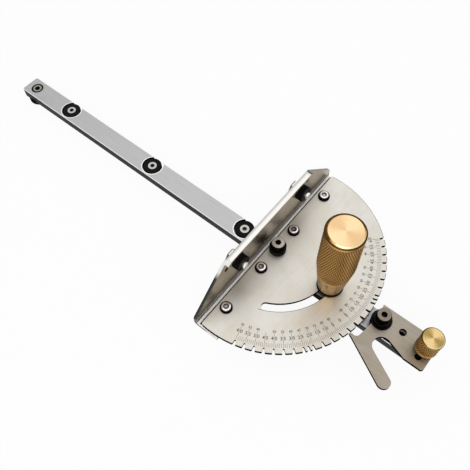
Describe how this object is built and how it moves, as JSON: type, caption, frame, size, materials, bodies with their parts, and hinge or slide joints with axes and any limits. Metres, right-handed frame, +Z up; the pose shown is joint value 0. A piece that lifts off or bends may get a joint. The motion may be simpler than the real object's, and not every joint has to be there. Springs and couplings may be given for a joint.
{
  "type": "miter gauge",
  "caption": "Saw-table miter gauge: slot bar with expansion discs, notched protractor head with a folded fence bracket, index lever and turned clamp handle.",
  "frame": {"origin": "on the pivot axis of the head, level with the top face of the bar", "axes": "+Y runs along the bar to its front end, +X across the bar, +Z up"},
  "size_m": [0.181, 0.4599, 0.1044],
  "materials": {
    "bar_aluminium": "drawn bar, satin",
    "plate_steel": "brushed",
    "bracket_steel": "zinc plated, satin",
    "screw_steel": "bright zinc",
    "black_oxide": "black oxide, satin",
    "black_nylon": "moulded",
    "brass": "turned and knurled"
  },
  "bodies": {
    "bar": {"miter_bar": "bar_aluminium", "expansion_disc_1": "black_nylon", "expansion_disc_2": "black_nylon", "expansion_disc_3": "black_nylon", "slot_washer": "black_oxide", "slot_washer_screw": "screw_steel", "glide_washer": "black_nylon", "pivot_bush": "black_oxide", "pivot_screw": "black_oxide", "clamp_spacer": "black_nylon", "handle_washer": "black_oxide", "handle_stud": "screw_steel", "lever_spacer": "black_nylon", "lever_washer": "black_oxide", "lever_bush": "black_oxide", "lever_pivot_screw": "black_oxide", "thumb_spacer": "black_nylon", "thumb_washer": "black_oxide", "thumb_stud": "screw_steel"},
    "head": {"protractor_plate": "plate_steel", "fence_bracket": "bracket_steel", "bracket_screw_1": "screw_steel", "bracket_screw_2": "screw_steel", "bracket_screw_3": "screw_steel", "bracket_screw_4": "screw_steel", "fence_bolt_left": "screw_steel", "fence_bolt_right": "screw_steel", "fence_washer_left": "screw_steel", "fence_washer_right": "screw_steel"},
    "handle": {"handle_grip": "brass"},
    "lever": {"index_lever": "plate_steel"},
    "thumb_lock": {"thumb_knob": "brass"},
    "fence_nut_left": {"fence_knob_left": "black_oxide"},
    "fence_nut_right": {"fence_knob_right": "black_oxide"},
    "disc_adjuster_1": {"disc_screw_1": "screw_steel"},
    "disc_adjuster_2": {"disc_screw_2": "screw_steel"},
    "disc_adjuster_3": {"disc_screw_3": "screw_steel"}
  },
  "joints": [
    {"name": "head_swing", "type": "hinge", "parent": "bar", "child": "head", "pos_m": [0, 0, 0.0055], "axis": [0, 0, 1], "range_deg": [-60, 60]},
    {"name": "lever_swing", "type": "hinge", "parent": "bar", "child": "lever", "pos_m": [0, -0.1, 0.0055], "axis": [0, 0, 1], "range_deg": [-4.5, 11]},
    {"name": "handle_turn", "type": "hinge", "parent": "bar", "child": "handle", "pos_m": [0, -0.0522, 0.05], "axis": [0, 0, 1], "range_deg": [0, 270]},
    {"name": "thumb_knob_turn", "type": "hinge", "parent": "bar", "child": "thumb_lock", "pos_m": [0, -0.1375, 0.02], "axis": [0, 0, 1], "range_deg": [0, 270]},
    {"name": "fence_knob_left_turn", "type": "hinge", "parent": "head", "child": "fence_nut_left", "pos_m": [-0.0403, 0.0065, 0.037], "axis": [0, -1, 0], "range_deg": [0, 270]},
    {"name": "fence_knob_right_turn", "type": "hinge", "parent": "head", "child": "fence_nut_right", "pos_m": [0.0403, 0.0065, 0.037], "axis": [0, -1, 0], "range_deg": [0, 270]},
    {"name": "disc_screw_1_turn", "type": "hinge", "parent": "bar", "child": "disc_adjuster_1", "pos_m": [0.0015, 0.0361, -0.004], "axis": [0, 0, 1], "range_deg": [-90, 90]},
    {"name": "disc_screw_2_turn", "type": "hinge", "parent": "bar", "child": "disc_adjuster_2", "pos_m": [0.0015, 0.1447, -0.004], "axis": [0, 0, 1], "range_deg": [-90, 90]},
    {"name": "disc_screw_3_turn", "type": "hinge", "parent": "bar", "child": "disc_adjuster_3", "pos_m": [0.0015, 0.2533, -0.004], "axis": [0, 0, 1], "range_deg": [-90, 90]}
  ]
}
